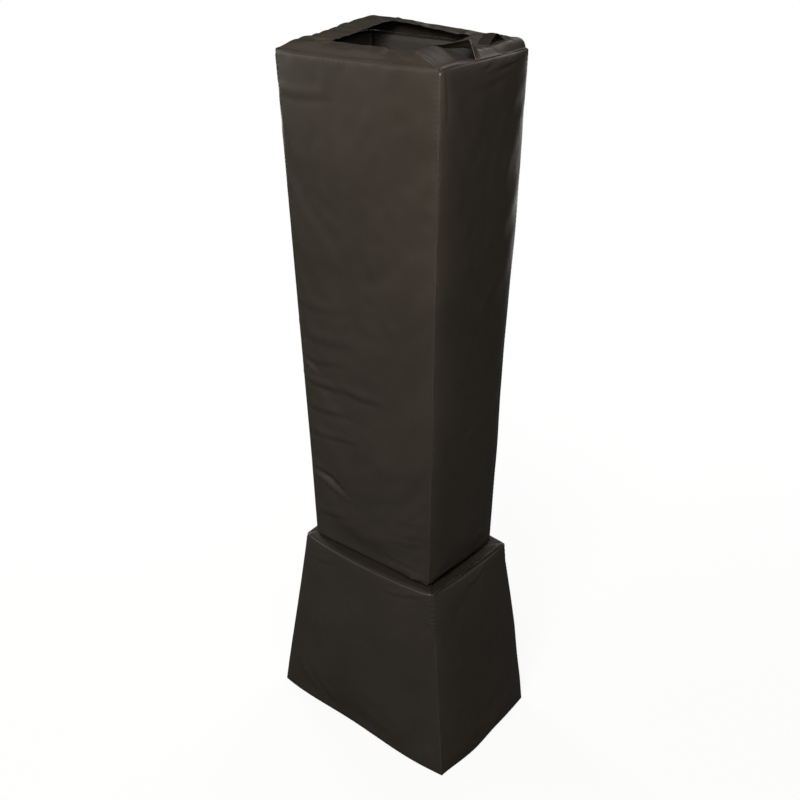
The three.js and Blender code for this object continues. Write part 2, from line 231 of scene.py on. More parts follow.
# How far each corner has crept out of the pattern in use: shares of the height, and there the millimetres along x,
# then y, then z
CREEP = {
    "pad": ((0, 0.2, 0.35, 0.5, 0.7, 0.85, 1), {
        "front_left": ((1, -1, -4, -7, -10, -13, -16), (0, 0, -1, -2, -4, -5, -6), (0, 0, 0, 0, 0, -2, -7)),
        "front_right": ((-1, 0, 0, 0, 0, 0, 0), (1, 0, 0, 0, 0, 0, 0), (3, 1, 0, 0, 0, 0, 0)),
        "back_left": ((0, 0, -2, -3, -5, -6, -7), (0, 0, 0, 0, 0, 0, 1)),
        "back_right": ((1, 0, -1, 0, 2, 3, 1), (0, 0, -1, 0, 2, 2, 1), (0, 0, 0, 0, 0, 0, 3)),
    }),
    "skirt": ((0, 0.15, 0.3, 0.5, 0.7, 0.9, 1), {
        "front_left": ((0, -1, -1, 0, 1, 1, 0),),
        "front_right": ((5, 3, 2, 1, 0, 0, 0), (-7, -4, -3, -1, 0, 0, 0)),
        "back_left": ((-2, -3, -4, -4, -3, -2, 0), (2, 3, 4, 4, 3, 2, 0)),
        "back_right": ((3, 5, 6, 8, 9, 8, 11), (3, 6, 7, 9, 8, 7, 9), (0, 0, 0, 0, 0, 1, 5)),
    }),
}


def crept(pad, points):
    """Moves points with the corners round them: each corner's creep at that height, weighted by nearness."""
    shares, table = CREEP[pad["name"]]
    x, y, z = points.T
    share = (z - pad["low"]) / (pad["high"] - pad["low"])
    right = np.clip((x / half(pad, 0, z) + 1) / 2, 0, 1)
    back = np.clip((y / half(pad, 1, z) + 1) / 2, 0, 1)
    nearness = {"front": 1 - back, "back": back, "left": 1 - right, "right": right}
    moved = points.copy()
    for corner, creep in table.items():
        end, side = corner.split("_")
        for axis, steps in enumerate(creep):
            moved[:, axis] += nearness[side] * nearness[end] * np.interp(share, shares, np.array(steps) / 1000)
    return moved


# ---- meshes


def mesh_object(name, points, faces, uv=None):
    """A mesh object from points and four-cornered faces, with its own map of the cloth where one is given."""
    mesh = bpy.data.meshes.new(name)
    mesh.vertices.add(len(points))
    mesh.vertices.foreach_set("co", np.asarray(points, np.float32).ravel())
    mesh.loops.add(faces.size)
    mesh.loops.foreach_set("vertex_index", faces.astype(np.int32).ravel())
    mesh.polygons.add(len(faces))
    mesh.polygons.foreach_set("loop_start", np.arange(0, faces.size, 4, dtype=np.int32))
    mesh.update(calc_edges=True)
    if uv is not None:
        layer = mesh.uv_layers.new(name="cloth")
        layer.data.foreach_set("uv", np.asarray(uv, np.float32)[faces.ravel()].ravel())
    mesh.validate()
    made = bpy.data.objects.new(name, mesh)
    scene.collection.objects.link(made)
    return made


def close_doubles(made, distance=2e-6):
    """Joins points that lie together, so that poles and folded corners are closed, and shades it smooth."""
    shape = bmesh.new()
    shape.from_mesh(made.data)
    bmesh.ops.remove_doubles(shape, verts=shape.verts, dist=distance)
    shape.to_mesh(made.data)
    shape.free()
    made.data.shade_smooth()
    return made


def grid_of(points):
    """Numbers of a grid's points, stored row by row, and its faces."""
    rows, columns = points.shape[:2]
    index = np.arange(rows * columns).reshape(rows, columns)
    corners = index[:-1, :-1], index[:-1, 1:], index[1:, 1:], index[1:, :-1]
    return index, np.stack(corners, -1).reshape(-1, 4)


def skin(name, points, uv=None):
    """One open surface from a grid of points."""
    flat_uv = None if uv is None else uv.reshape(-1, 2)
    return close_doubles(mesh_object(name, points.reshape(-1, 3), grid_of(points)[1], flat_uv))


def slab(name, outer, inner, uv):
    """One closed body between an outer and an inner grid of points, joined along their edges."""
    index, faces = grid_of(outer)
    count = index.size
    rim = np.concatenate([index[0, :-1], index[:-1, -1], index[-1, :0:-1], index[:0:-1, 0]])
    after = np.roll(rim, -1)
    sides = np.stack([rim, rim + count, after + count, after], -1)
    turned = faces[:, [0, 3, 2, 1]] + count
    points = np.concatenate([outer.reshape(-1, 3), inner.reshape(-1, 3)])
    flat_uv = np.concatenate([uv.reshape(-1, 2)] * 2)
    return close_doubles(mesh_object(name, points, np.concatenate([faces, turned, sides]), flat_uv))


def rod(name, centres, first, second, radii, sides=14):
    """A closed round bead: at each centre a ring in the plane of two directions, with ends that close to a pole."""
    turn = np.linspace(0, 2 * np.pi, sides + 1)
    ring = np.cos(turn)[None, :, None] * first[:, None, :] + np.sin(turn)[None, :, None] * second[:, None, :]
    return skin(name, centres[:, None, :] + ring * radii[:, None, None])


def thicken(made, thickness):
    """Gives a skin its thickness, inwards from the face."""
    solid = made.modifiers.new("thickness", "SOLIDIFY")
    solid.thickness = thickness
    solid.offset = -1
    solid.use_quality_normals = True
    return made


# ---- how vinyl lies on foam


def blurred(field, passes=2):
    """Averages each value with its neighbours, a quarter, a half, a quarter, along both ways."""
    for _ in range(2 * passes):
        padded = np.pad(field, ((1, 1), (0, 0)), "edge")
        field = (padded[:-2] / 4 + padded[1:-1] / 2 + padded[2:] / 4).T
    return field


def resampled(field, along, up):
    """Reads a grid of values at shares along and up, by straight lines between its points."""
    rows, columns = field.shape
    x, y = np.clip(along, 0, 1) * (columns - 1), np.clip(up, 0, 1) * (rows - 1)
    i, j = np.minimum(x.astype(int), columns - 2), np.minimum(y.astype(int), rows - 2)
    u, v = x - i, y - j
    low = lerp(field[j, i], field[j, i + 1], u)
    high = lerp(field[j + 1, i], field[j + 1, i + 1], u)
    return lerp(low, high, v)


# The vinyl as cloth: heavy and stiff, sewn down along its edges, and longer than its room where it is slack
CLOTH = {
    "quality": 7, "mass": 0.25, "tension_stiffness": 25, "compression_stiffness": 25, "shear_stiffness": 10,
    "bending_stiffness": 1.2, "vertex_group_mass": "sewn", "vertex_group_shrink": "slack", "shrink_min": 0.0,
}
CLOTH_FRAMES = 22
CLOTH_GRAVITY = 0.15  # share of real gravity, because the foam carries the sheet
UNEVEN_START = 0.0012
LEAST_SLACK = 0.01


def settled_cloth(name, width, height, slack, seed, step=0.011, most=0.0035, growth=0.03):
    """Lets a flat sheet of vinyl, sewn down all round, settle with more cloth than room where `slack` is high,
    and returns how far each of its points then stands off the plane, held under `most`. slack is a function of
    shares along and up."""
    columns, rows = int(width / step) + 1, int(height / step) + 1
    along, up = np.meshgrid(np.linspace(0, 1, columns), np.linspace(0, 1, rows))
    chance = np.random.default_rng(seed)
    off = blurred(chance.normal(0, 1, (rows, columns)), 2) * UNEVEN_START
    edge = (along == 0) | (along == 1) | (up == 0) | (up == 1)
    off[edge] = 0
    points = np.stack([along * width, off, up * height], -1)
    sheet = mesh_object(name, points.reshape(-1, 3), grid_of(points)[1])
    sheet.vertex_groups.new(name="sewn").add(np.flatnonzero(edge.ravel()).tolist(), 1.0, "REPLACE")
    loose = sheet.vertex_groups.new(name="slack")
    weights = np.clip(slack(along, up), 0, 1).ravel()
    for index in np.flatnonzero(weights > LEAST_SLACK).tolist():
        loose.add([index], float(weights[index]), "REPLACE")
    cloth = sheet.modifiers.new("cloth", "CLOTH")
    for setting, value in CLOTH.items():
        setattr(cloth.settings, setting, value)
    cloth.settings.shrink_max = -growth
    cloth.settings.effector_weights.gravity = CLOTH_GRAVITY
    cloth.collision_settings.use_collision = False
    cloth.collision_settings.use_self_collision = False
    for number in range(1, CLOTH_FRAMES + 1):
        scene.frame_set(number)
    settled = sheet.evaluated_get(bpy.context.evaluated_depsgraph_get())
    found = np.zeros(rows * columns * 3, np.float32)
    settled.data.vertices.foreach_get("co", found)
    scene.frame_set(1)
    bpy.data.objects.remove(sheet)
    off = np.nan_to_num(-found.reshape(rows, columns, 3)[..., 1].astype(float))
    return held_under(off, most)


def unevenness(x, z, seed, height, count=7, lengths=(0.16, 0.5), leaning=0.6):
    """A sum of long sine waves of seeded lengths, directions and phases, as foam board and taut vinyl have."""
    chance = np.random.default_rng(seed)
    total = 0 * x
    for _ in range(count):
        length = chance.uniform(*lengths)
        lean = chance.normal(0, leaning)
        phase = chance.uniform(0, 2 * np.pi)
        total += np.sin(2 * np.pi * (z * math.cos(lean) + x * math.sin(lean)) / length + phase)
    return height * total / math.sqrt(count)


SWAY, SWAY_RUN = 1.6, 0.031  # how far the pitch of gathers sways, and over what run
GATHER_LEAST, GATHER_MORE, GATHER_RUNS = 0.55, 0.45, (0.083, 0.19)  # how their size varies, over two runs


def puckers(distance, run, seed, height=0.0005, pitch=0.012, reach=0.010):
    """Small gathers beside a seam: a sine wave along its run with a swaying pitch, of uneven size, that dies away
    with distance from it as exp(-distance / reach) does."""
    chance = np.random.default_rng(seed)
    p, q, r = chance.uniform(0, 6, 3)
    wave = np.sin(2 * np.pi * run / pitch + SWAY * np.sin(run / SWAY_RUN + p))
    size = GATHER_LEAST + GATHER_MORE * np.sin(run / GATHER_RUNS[0] + q) * np.sin(run / GATHER_RUNS[1] + r)
    return height * wave * size * np.exp(-distance / reach)


CREASE_BEND, CREASE_TURNS, CREASE_END = 0.5, 5, 0.7  # how far it bends off its line and how often, how it ends
DIP, DIP_AWAY, DIP_WIDTH = 0.75, 1.5, 0.8  # the dip beside its ridge, to the ridge's height and half width


def creases(x, z, lines):
    """Folds along straight lines (x0, z0, x1, z1, height, half width): a ridge with a dip under it, or above it
    for a negative width, full in the middle of its length and gone at its ends as a power of a sine is."""
    total = 0 * x
    for x0, z0, x1, z1, height, width in np.array(lines) / 1000:
        run = np.hypot(x1 - x0, z1 - z0)
        share = ((x - x0) * (x1 - x0) + (z - z0) * (z1 - z0)) / run ** 2
        away = ((z - z0) * (x1 - x0) - (x - x0) * (z1 - z0)) / run / width
        away += CREASE_BEND * np.sin(share * CREASE_TURNS)
        ridge = bell(away) - DIP * bell((away + DIP_AWAY) / DIP_WIDTH)
        total += height * ridge * np.sin(np.pi * np.clip(share, 0, 1)) ** CREASE_END
    return total


# Folds of each panel in millimetres, as seen from outside: both ends' places from its left and low edges, height
# and half width
PANEL_CREASES = {
    "pad_front": [
        (0, 204, 142, 168, 4.6, -11), (-10, 238, 100, 214, 2.2, 10), (-10, 498, 142, 476, 3.4, 12),
        (120, 502, 275, 482, 2.6, 13), (-10, 524, 66, 506, 2.2, -9), (-10, 622, 200, 611, 2.2, 16),
        (-10, 340, 190, 348, 2, 10), (-10, 416, 175, 419, 2.2, 12), (-10, 546, 160, 558, 2, 12),
        (-10, 704, 165, 690, 1.5, 15), (-10, 98, 140, 106, 1.6, 12), (-10, 1210, 160, 1198, 1, 13),
        (255, 53, 402, 37, 1, 9.5), (285, 30, 402, 18, 0.9, 8), (322, 0, 396, 14, 2.8, 7.5),
        (270, 135, 402, 147, 0.9, 12), (300, 112, 402, 120, 0.7, 10), (330, 178, 404, 190, 0.6, 10),
    ],
    "pad_right": [
        (8.5, 1165, 7, 1290, 1.3, 3.8), (162, 1277, 204, 1279, 2, 5), (160, 1270, 236, 1273, 2.2, 5.5),
        (112, 1276, 150, 1275, 2, 5), (110, 1264, 262, 1274, 1, 7), (80, 1245, 230, 1254, 0.8, 12),
        (10, 22, 120, 12, 1.4, 7),
    ],
    "pad_left": [
        (150, 190, 306, 220, 3, 11), (180, 470, 306, 500, 2.6, 12), (160, 610, 306, 622, 2, 15),
        (20, 1230, 140, 1254, 1.6, 9),
    ],
    "pad_back": [
        (10, 160, 150, 130, 2.2, 11), (280, 330, 420, 300, 2, 11), (10, 700, 180, 690, 1.6, 14),
        (20, 1200, 170, 1230, 1.6, 9),
    ],
    "skirt_front": [
        (50, 120, 130, 20, 1.6, 13), (95, 130, 190, 18, 1.4, 13), (330, 500, 480, 520, 1.4, 8),
        (20, 480, 160, 505, 1.2, 9),
    ],
    "skirt_right": [
        (120, 505, 240, 528, 1.6, 7), (20, 470, 150, 512, 0.7, 18), (190, 20, 230, 200, 1.8, 20),
        (80, 10, 120, 240, 1.4, 22),
    ],
    "skirt_left": [(140, 30, 170, 190, 1.8, 18), (60, 480, 200, 512, 1.4, 9)],
    "skirt_back": [(380, 20, 330, 150, 1.6, 14), (120, 500, 300, 520, 1.4, 8)],
}

# Where each panel has more vinyl than room, by shares along and up
PANEL_SLACK = {
    "pad_front": lambda a, u: bell(a / 0.42) * hump(u / 0.52) + 0.35 * bell((1 - a) / 0.3, u / 0.08),
    "pad_right": lambda a, u: 0.45 * bell((1 - u) / 0.05) + 0.12 * hump(u / 0.4),
    "pad_left": lambda a, u: 0.5 * bell((1 - a) / 0.4) * hump(u / 0.6) + 0.1,
    "pad_back": lambda a, u: 0.4 * bell(a / 0.4) * hump(u / 0.7) + 0.1,
    "skirt_front": lambda a, u: 0.35 * bell((a - 0.2) / 0.16, u / 0.3),
    "skirt_right": lambda a, u: 0.25 * bell(u / 0.3),
    "skirt_left": lambda a, u: 0.25 * bell(u / 0.3),
    "skirt_back": lambda a, u: 0.3 * bell((a - 0.7) / 0.2, u / 0.3),
}

SINK_FROM, SINK_RUN = 0.02, 0.25  # heights over which the skirt's corners begin to roll in


def sink_share(pad, z):
    """How much of the roll a corner shows at height z: all of it on the pad, none at the skirt's hem."""
    return 1 if pad is PAD else smooth((z - SINK_FROM) / SINK_RUN)


def wrap(length, points, first, last, arc=7, wall=6):
    """One way over a panel: up a wall, round an edge of the first radius, over the face, round the last radius
    and down the other wall. Returns the share of the face's length and the inset behind the face at each step."""
    turn = np.linspace(0, np.pi / 2, arc)
    (near, near_inset, near_wall), (far, far_inset, far_wall) = (
        (radius * (1 - np.cos(turn)), radius * (1 - np.sin(turn)), np.linspace(PANEL, radius, wall)[:-1])
        for radius in (first, last)
    )
    face = np.linspace(first, length - last, points)[1:-1]
    distance = np.concatenate([0 * near_wall, near, face, length - far[::-1], length + 0 * far_wall])
    inset = np.concatenate([near_wall, near_inset, 0 * face, far_inset[::-1], far_wall[::-1]])
    return distance / length, inset


SEAM_ZONE, HEM_ZONE = 0.004, 0.005  # within which the relief grows from nothing
WAVE_HEIGHT = 0.0007
DRAWN = {"height": 0.0012, "pitch": 0.0135, "reach": 0.014}  # gathers at the top of the skirt's seams
DRAWN_FROM, DRAWN_RUN = 0.40, 0.06
GROOVE, GROOVE_BELOW = 0.0014, 0.0020  # size and place of the groove under the pad's top seam


def relief(pad, side_name, along, up, width, height, seed):
    """Everything that lifts or dips a cover's face: settled cloth, folds, long waves, gathers and sunk seams."""
    key = f"{pad['name']}_{side_name}"
    x, z = along * width, up * height
    left, right, low, high = x, width - x, z, height - z
    cloth = settled_cloth(f"{key}_settling", width, height, PANEL_SLACK[key], seed)
    total = PLANS[key].settling * blurred(resampled(cloth, along, up), 4)
    total *= smooth(np.minimum(left, right) / SEAM_ZONE)
    total += creases(x, z, PANEL_CREASES[key]) + unevenness(x, z, seed + 100, WAVE_HEIGHT)
    total += puckers(left, z, seed + 1) + puckers(right, z, seed + 2)
    total += puckers(high, x, seed + 3, height=0.0006) + puckers(low, x, seed + 4)
    if pad is SKIRT:
        drawn = puckers(left, z, seed + 5, **DRAWN) + puckers(right, z, seed + 6, **DRAWN)
        total += drawn * smooth((z - DRAWN_FROM) / DRAWN_RUN)
    total += filling(pad, side_name, along, up)
    for corner, distance in zip(SIDES[side_name].corners, (left, right)):
        total -= pad["sink"][corner] * sink_share(pad, z) * np.exp(-distance / pad["sink_reach"])
    groove = GROOVE * bell((high - GROOVE_BELOW) / GROOVE) if pad is PAD else 0
    return total * smooth(np.minimum(low, high) / HEM_ZONE) - groove


FOOT_RADIUS = 0.004
FACE_DEPTH = 0.012  # how far round its edges a cover's relief goes
TUCK = 0.0015  # how much lower a cover and its foam lie under the flaps
TUCK_INSET, TUCK_INSET_RUN, TUCK_BELOW, TUCK_RUN = 0.0014, 0.0008, 0.010, 0.004


def cover(pad, side_name, seed):
    """The vinyl cover of a panel: face, rounded edges and turned-in walls in one skin."""
    axis, plan = SIDES[side_name].span, plan_of(pad, side_name)
    width = pad["foot"][axis] / 2 + pad["rim"][axis] / 2 - 2 * WELT_TRIM
    height = pad["high"] - pad["low"] - pad["fold"]
    share_along, inset_along = wrap(width, plan.grid[0], pad["side_radius"], pad["side_radius"])
    share_up, inset_up = wrap(height, plan.grid[1], FOOT_RADIUS, plan.rim_radius)
    along, up = np.meshgrid(share_along, share_up)
    from_side, from_end = np.meshgrid(inset_along, inset_up)
    inset = np.minimum(np.hypot(from_side, from_end), PANEL)
    proud = relief(pad, side_name, along, up, width, height, seed) * (inset < FACE_DEPTH)
    points = place(pad, side_name, along, up, inset, proud=proud)
    near_top = smooth((up * height - height + TUCK_BELOW) / TUCK_RUN)
    points[..., 2] -= TUCK * ((up > 0.5) * smooth((inset - TUCK_INSET) / TUCK_INSET_RUN) * near_top)
    # In a foot corner both walls meet in one line, whose thickness could go below the floor.
    points[..., 2] += VINYL * (from_side > 0) * (from_end > 0) * (up < 0.5)
    uv = np.stack([along * width, up * height], -1)
    return thicken(skin(f"{pad['name']}_{side_name}_vinyl", points, uv), VINYL)


BOARD_EDGE, BOARD_TOP = 0.006, 0.010  # radii of a foam board's edges
BOARD_SLACK, BOARD_TRIM = 0.0004, 0.0006  # how far it keeps from its cover at its face and at its ends
BOARD_DIP, BOARD_PRESS, PRESS_REACH = 0.0014, 0.0022, 0.02  # how its face is pressed in, and more beside seams


def foam_core(pad, side_name, columns=22, rows=44):
    """The foam board in a cover: the same wrap, set in by the vinyl, closed at the back."""
    width = pad["foot"][SIDES[side_name].span]
    height = pad["high"] - pad["low"]
    within = VINYL + GAP + BOARD_SLACK
    share_along, inset_along = wrap(width, columns, BOARD_EDGE, BOARD_EDGE)
    share_up, inset_up = wrap(height, rows, BOARD_EDGE, BOARD_TOP)
    along, up = np.meshgrid(share_along, share_up)
    depth = PANEL - LINING - GAP
    inset = np.clip(within + np.hypot(*np.meshgrid(inset_along, inset_up)), within, depth)
    pressed = BOARD_PRESS * np.exp(-np.minimum(along, 1 - along) * width / PRESS_REACH) + BOARD_DIP
    outer = place(pad, side_name, along, up, inset, within + BOARD_TRIM, -pressed * (inset < depth))
    inner = place(pad, side_name, along, up, depth + 0 * inset, within + BOARD_TRIM)
    for grid in (outer, inner):
        grid[..., 2] -= TUCK * (up > 0.9)
    return slab(f"{pad['name']}_{side_name}_foam_board", outer, inner, np.stack([along * width, up * height], -1))


FAINT = {"height": 0.00022, "pitch": 0.02}  # gathers of a lining


def lining(pad, side_name, columns=40, rows=90):
    """The backing sheet that closes a cover over its foam: flat, with faint gathers along its sewn edges. Returns
    it with its flat size and its area."""
    width, height = pad["foot"][SIDES[side_name].span] - 2 * PANEL, pad["high"] - pad["low"]
    along, up = np.meshgrid(np.linspace(0, 1, columns), np.linspace(0, 1, rows))
    x, z = along * width, up * height
    wave = puckers(np.minimum(x, width - x), z, 31, **FAINT) + puckers(np.minimum(z, height - z), x, 32, **FAINT)
    outer, inner = (
        place(pad, side_name, along, up, inset, VINYL + GAP, wave) for inset in (PANEL - LINING, PANEL)
    )
    made = slab(f"{pad['name']}_{side_name}_backing", outer, inner, np.stack([x, z], -1))
    spread = np.linalg.norm(inner[:, -1] - inner[:, 0], axis=-1)
    return made, (float(spread.max()), float(np.linalg.norm(inner[-1, 0] - inner[0, 0]))), sheet_area(inner)


BEAD_BEND, BEAD_BELOW_RIM = 0.010, 0.0005
BEAD_SINK = 0.8  # its share of the covers' roll


def welt(pad, corner, x_sign, y_sign, steps=260, bent=24):
    """Piping along a corner: a round bead that swells and wanders by a few tenths of a millimetre, and at the top
    bends in over the corner on a quarter circle, where it is sewn under the flaps."""
    low, high = pad["low"] + pad["fold"], pad["high"] - BEAD_BELOW_RIM
    run = np.linspace(low, high - WELT - BEAD_BEND, steps)
    turn = np.linspace(0, np.pi / 2, bent)[1:]
    z = np.concatenate([run, run[-1] + BEAD_BEND * np.sin(turn)])
    back = np.concatenate([0 * run, BEAD_BEND * (1 - np.cos(turn))])
    wander = 0.0003 * np.sin(z / 0.043 + x_sign) + 0.0002 * np.sin(z / 0.017 + 2 * y_sign)
    back += BEAD_SINK * pad["sink"][corner] * sink_share(pad, z)
    centres = np.stack([
        x_sign * (half(pad, 0, z) - WELT - back) + wander,
        y_sign * (half(pad, 1, z) - WELT - back) - wander,
        z,
    ], -1)
    tangent = unit(np.gradient(centres, axis=0))
    first = unit(np.cross(np.array([x_sign, -y_sign, 0]) / MITRE, tangent))
    gone = np.concatenate([[0], np.linalg.norm(np.diff(centres, axis=0), axis=-1).cumsum()])
    to_end = np.minimum(gone, gone[-1] - gone) / WELT
    swell = 1 + 0.02 * np.sin(z / 0.011 + 1) * np.sin(z / 0.07)
    radii = pad["bead"] * np.sqrt(1 - (1 - to_end).clip(0, 1) ** 2) * swell
    return rod(f"{pad['name']}_{corner}_piping", centres, first, np.cross(tangent, first), radii)


TAPE_WIDTH, TAPE_INSET, TAPE_END = 0.025, 0.006, 0.020
TAPE_WAVE, TAPE_WAVE_RUN = 0.00008, 0.009


def closure_tape(pad, side_name, at_end, name):
    """A tape sewn on the mitred end of a panel, between two planes that stand off the mitre."""
    height = pad["high"] - pad["low"]
    end = TAPE_END / height
    x, y = SIDES[side_name].out
    shift = np.array([-y, x, 0]) * (-1 if at_end else 1)
    insets = TAPE_INSET + np.linspace(0, 1, 8) * TAPE_WIDTH / MITRE
    up, inset = np.meshgrid(np.linspace(end, 1 - end, 160), insets, indexing="ij")
    wave = TAPE_WAVE * np.sin(up * height / TAPE_WAVE_RUN)
    face = place(pad, side_name, float(at_end) + 0 * up, up, inset)
    sheets = [face - shift * (distance * MITRE) for distance in (GAP, GAP + TAPE)]
    sheets[0] += shift * wave[..., None]
    return slab(name, *sheets[::-1 if at_end else 1], np.stack([inset * MITRE, up * height], -1))


# ---- flaps and tabs

ROLL = 0.2  # share of the way in at which a flap has risen


def rolled(inward):
    """A flap's smooth rise from its sewn edge."""
    return smooth(inward / ROLL)


def domed(inward, sewn=0.03):
    """A rise that stays flat along the sewn edge, is steep beside it and rolls over to level, a quarter circle."""
    return np.sqrt(1 - (1 - np.clip((inward - sewn) / (ROLL - sewn), 0, 1)) ** 2)


# Rise of the flaps along the seam at each corner, by how far in it is
CORNER_RISE = {
    "front_left": lambda i: 0.016 * smooth(i / 0.4),
    "front_right": lambda i: 0.016 * smooth(i),
    "back_right": lambda i: 0.019 * domed(i),
    "back_left": lambda i: 0.033 * rolled(i),
}
SLIT_RISE, SLIT_SHARE = (0.039, 0.019), 0.24  # of the slit edge, outside and at the post
LOW_RISE, PUFF_FROM, PUFF_RUN = 0.013, 0.5, 0.45


def rear_rise(a, i):
    """The rear right flap: its slit edge stands up at the outside, its middle lies low and its back end puffs."""
    slit_edge = lerp(*SLIT_RISE, smooth(i)) * smooth(1 - a / SLIT_SHARE)
    rest = lerp(LOW_RISE * rolled(i), CORNER_RISE["back_right"](i), smooth((a - PUFF_FROM) / PUFF_RUN))
    return np.maximum(slit_edge * rolled(i), rest)


def between(first, last):
    """A rise that goes from one rise to another along a flap."""
    return lambda a, i: lerp(first(i), last(i), smooth(a))


# Rise of each flap, by share along it and share of the way in; flaps that meet at a corner rise alike there
PAD_FOLDS = {
    "front": between(CORNER_RISE["front_left"], CORNER_RISE["front_right"]),
    "left": between(CORNER_RISE["back_left"], CORNER_RISE["front_left"]),
    "back": between(CORNER_RISE["back_right"], CORNER_RISE["back_left"]),
    "right_front": between(CORNER_RISE["front_right"], lambda i: 0.018 * smooth(i)),
    "right_rear": rear_rise,
}

# Folds in the flaps in millimetres: both ends' places along the side from its middle and inwards, height and
# half width
FLAP_CREASES = {
    "left": [
        (104, 12, 86, 116, 5, 8.5), (134, 10, 112, 80, 3.4, 10), (62, 20, 60, 116, 3.6, 8),
        (32, 16, 34, 116, 3.2, 8), (2, 20, 4, 116, 3, 8), (-36, 12, -30, 116, 3.4, 10),
        (-80, 20, -74, 110, 2.6, 11),
    ],
    "right_rear": [
        (121, 16, 114, 110, 4.6, 6), (18, 18, 26, 110, 3, 8), (-6, 14, 4, 100, 2.6, 7),
        (44, 12, 112, 12, 2.4, 6),
    ],
    "right_front": [(-152, 12, -34, 10, 2.6, 7), (-60, 20, -52, 110, 0.7, 12)],
    "front": [
        (-200, 16, 120, 14, 1.6, 7), (-120, 16, -90, 56, 2.2, 9), (50, 20, 40, 56, 1.6, 10),
        (140, 18, 120, 60, 1.6, 10),
    ],
    "back": [(-90, 16, -80, 56, 3, 10), (30, 12, 36, 56, 2.6, 10), (120, 16, 104, 56, 3, 10)],
}

# Phase of the gathers in each flap, and their height
GATHERS = {
    "front": (1.0, 0.0016), "left": (2.1, 0.0016), "back": (3.7, 0.0016), "right_front": (5.2, 0.0002),
    "right_rear": (6.9, 0.0016),
}


def gathers(a, i, kind):
    """Small folds of a flap that is drawn in: three sine waves along it that fan from its sewn edge and grow
    towards the post, and a swaying one across."""
    seed, height = GATHERS[kind]
    fan = (a - 0.5) * (1 + 0.5 * i)
    ridges = np.sin(13 * fan + seed) + 0.6 * np.sin(29 * fan + 2 * seed) + 0.3 * np.sin(51 * fan + 3 * seed + 4 * i)
    across = np.sin(9 * i + 3 * np.sin(5 * a + seed))
    inner = smooth((i - 0.05) / 0.4) * (1 - 0.7 * smooth((i - 0.7) / 0.3))
    return (height * ridges * inner + 0.5 * height * across * hump(i)) * smooth(np.minimum(a, 1 - a) / 0.04)


# Lumps of loose vinyl on the skirt's right ledge in millimetres: along it, inwards, height, both half widths
MOST_LUMP = 0.0062
LEDGE_LUMPS = [
    (-42, 8, 5.6, 5, 6), (-14, 8, 3, 12, 6), (20, 9, 5, 9, 5), (60, 6, 5, 34, 4), (110, 10, 3.4, 20, 6),
    (-75, 10, 4.6, 18, 5), (-112, 6, 4.6, 14, 4),
]


def lumps(across, inset):
    """A sum of bell curves, one for each lump, that keep off the sewn edge."""
    total = 0 * across
    for x, y, height, width, depth in np.array(LEDGE_LUMPS) / 1000:
        total += height * bell((across - x) / width, (inset - y) / depth)
    return held_under(total, MOST_LUMP) * smooth((inset - FLAP_INSET) / 0.003)


def flap_height(pad, side_name, inset):
    """Height of a flap's underside: close to the panel at its sewn edge, and lifted clear of it further in.
    Near the edge it follows the roll of the cover below it, a quarter circle, at the same small distance."""
    lifted = np.clip((inset - FLAP_INSET) / LIFT_RUN, 0, 1)
    fall = 0 if side_name == "front" else pad["fall"]
    drop = rounded(plan_of(pad, side_name).rim_radius + GAP, inset + GAP)
    return pad["high"] + lerp(GAP, pad["lift"], lifted) - fall * inset - drop


CORNER_ROUND = 0.009  # radius of the top's corners, seen from above


def flap_ends(pad, side_name, part, inward):
    """Where a flap starts and ends along its side, and half its side's length there. Its ends run from the middle
    of the rounded corner, 0.3 of its radius in from both edges, to the hole's corner."""
    axis = SIDES[side_name].span
    outer = pad["rim"][axis] / 2 - FLAP_INSET - CORNER_ROUND * (1 - math.sqrt(0.5)) - HAIR
    half_span = lerp(outer, pad["hole"][axis] - HAIR, inward)
    slit = pad["slit"] - pad["rim"][axis] / 2
    start = slit + SLIT_GAP / 2 + 0 * inward if part == "rear" else -half_span
    end = slit - SLIT_GAP / 2 + 0 * inward if part == "front" else half_span
    return half_span, start, end


CROWDING = 1.7  # power by which a flap's rows crowd towards its sewn edge
THICKNESS_RUN = 0.02  # how far in its face lies a whole thickness above its underside
END_DROP, END_DROP_REACH = 0.004, 0.06  # how far its sewn ends drop on the rounded corners
END_ZONE = 0.06  # share at each end that keeps to the rise of the corner's seam


